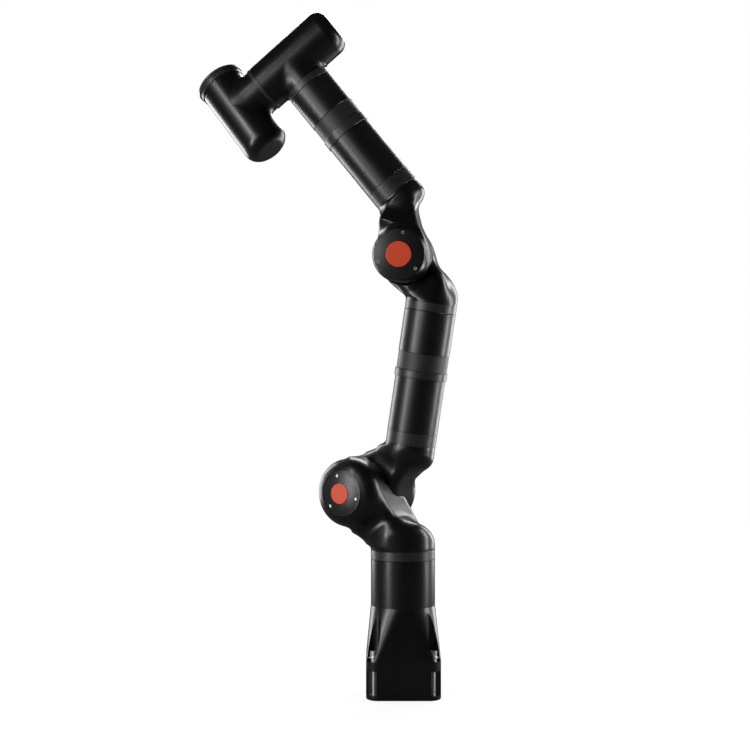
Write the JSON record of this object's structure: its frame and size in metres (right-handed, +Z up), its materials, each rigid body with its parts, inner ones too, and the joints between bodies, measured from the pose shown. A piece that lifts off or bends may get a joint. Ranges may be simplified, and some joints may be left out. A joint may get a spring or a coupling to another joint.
{
  "type": "collaborative robot arm",
  "caption": "Seven-axis collaborative robot arm on a square base, with offset cast joints, round tubes, two wrists and a tool flange.",
  "frame": {"origin": "centre of the base's bottom face", "axes": "+Z up along J1, -Y towards the front of the arm, +X to its right seen from the front"},
  "size_m": [0.5605, 0.304, 1.4789],
  "materials": {
    "black_casting": "satin",
    "black_tube": "satin",
    "dark_ring": "anodised",
    "seal_black": "matt",
    "cap_black": "satin",
    "red_disc": "satin",
    "screw_steel": "satin",
    "flange_grey": "anodised",
    "connector_black": "matt",
    "drive_steel": "ground",
    "motor_copper": "varnished windings"
  },
  "bodies": {
    "base": {"base_casting": "black_casting", "base_mounting_screws": "screw_steel", "base_screw_washers": "screw_steel", "connector_panel": "cap_black", "connectors": "connector_black", "j1_housing": "black_casting", "j1_gear_unit": "drive_steel", "j1_motor": "motor_copper"},
    "link_1": {"j1_output_hub": "drive_steel", "j1_ring": "dark_ring", "shoulder_casting": "black_casting", "j2_cap": "cap_black", "j2_disc": "red_disc", "j2_cap_screws": "screw_steel", "j2_gear_unit": "drive_steel", "j2_motor": "motor_copper"},
    "link_2": {"j2_output_hub": "drive_steel", "upper_arm_casting": "black_casting", "upper_arm_joint_band": "dark_ring", "upper_arm_lower_tube": "black_tube", "upper_arm_clamp_ring": "dark_ring", "upper_arm_seal_band": "seal_black", "upper_arm_upper_tube": "black_tube", "j3_gear_unit": "drive_steel", "j3_motor": "motor_copper"},
    "link_3": {"j3_output_hub": "drive_steel", "j3_ring": "dark_ring", "elbow_lower_casting": "black_casting", "j4_output_hub": "drive_steel"},
    "link_4": {"elbow_upper_casting": "black_casting", "j4_cap": "cap_black", "j4_disc": "red_disc", "j4_cap_screws": "screw_steel", "j4_gear_unit": "drive_steel", "j4_motor": "motor_copper", "forearm_joint_band": "dark_ring", "forearm_long_tube": "black_tube", "forearm_clamp_ring": "dark_ring", "forearm_seal_band": "seal_black", "forearm_short_tube": "black_tube", "j5_gear_unit": "drive_steel", "j5_motor": "motor_copper"},
    "link_5": {"j5_output_hub": "drive_steel", "j5_ring": "dark_ring", "wrist_1_housing": "black_casting", "wrist_1_cap": "black_casting", "j6_gear_unit": "drive_steel", "j6_motor": "motor_copper"},
    "link_6": {"j6_output_hub": "drive_steel", "j6_ring": "dark_ring", "wrist_2_housing": "black_casting", "wrist_2_cap": "black_casting", "j7_ring": "dark_ring", "j7_gear_unit": "drive_steel", "j7_motor": "motor_copper"},
    "link_7": {"j7_output_hub": "drive_steel", "tool_flange": "flange_grey", "flange_inserts": "screw_steel", "flange_screws": "screw_steel", "flange_socket": "connector_black"}
  },
  "joints": [
    {"name": "j1_base_turn", "type": "hinge", "parent": "base", "child": "link_1", "pos_m": [0, 0, 0.292], "axis": [0, 0, 1], "range_deg": [-360, 360]},
    {"name": "j2_shoulder", "type": "hinge", "parent": "link_1", "child": "link_2", "pos_m": [-0.07364, 0.04819, 0.436], "axis": [-0.5476, -0.8368, 0], "range_deg": [-40, 180]},
    {"name": "j3_upper_arm_roll", "type": "hinge", "parent": "link_2", "child": "link_3", "pos_m": [0.05753, -0.03765, 0.82652], "axis": [0.1424, -0.0932, 0.9854], "range_deg": [-360, 360]},
    {"name": "j4_elbow", "type": "hinge", "parent": "link_3", "child": "link_4", "pos_m": [0.00234, -0.03925, 0.94445], "axis": [0.1307, 0.9886, 0.0746], "range_deg": [-100, 90]},
    {"name": "j5_forearm_roll", "type": "hinge", "parent": "link_4", "child": "link_5", "pos_m": [-0.1973, -0.04005, 1.30466], "axis": [-0.6285, 0.0244, 0.7774], "range_deg": [-360, 360]},
    {"name": "j6_wrist_roll", "type": "hinge", "parent": "link_5", "child": "link_6", "pos_m": [-0.29572, -0.02403, 1.31014], "axis": [-0.76, 0.1932, -0.6205], "range_deg": [-360, 360]},
    {"name": "j7_tool_roll", "type": "hinge", "parent": "link_6", "child": "link_7", "pos_m": [-0.39428, 0.0117, 1.32193], "axis": [-0.5614, 0.2856, 0.7766], "range_deg": [-360, 360]}
  ]
}
